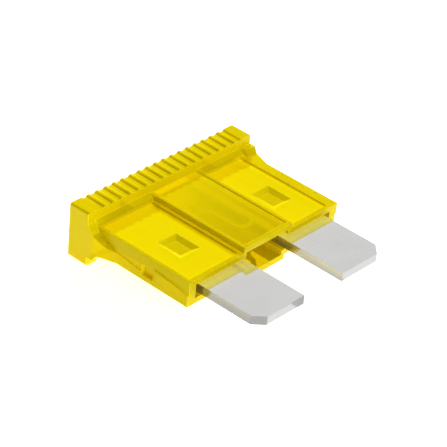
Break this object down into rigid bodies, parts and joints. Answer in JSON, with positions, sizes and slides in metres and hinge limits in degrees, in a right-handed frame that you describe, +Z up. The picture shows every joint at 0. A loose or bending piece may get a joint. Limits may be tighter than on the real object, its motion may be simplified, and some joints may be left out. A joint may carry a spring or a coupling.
{
  "type": "automotive blade fuse",
  "caption": "Standard-size automotive blade fuse: translucent yellow ribbed housing, flat tinned blades and a fusible strip behind a raised window.",
  "frame": {"origin": "bottom centre of the overall box, with the fuse lying on one broad face", "axes": "+X across both blades, blades point to -Y and the ribbed head to +Y, +Z up through the thickness"},
  "size_m": [0.019, 0.0188, 0.005],
  "materials": {
    "yellow_plastic": "translucent yellow moulded plastic, smooth",
    "plated_zinc": "stamped zinc alloy with a matt silver-grey plating"
  },
  "bodies": {
    "root": {"housing": "yellow_plastic", "fuse_element": "plated_zinc"}
  },
  "joints": []
}
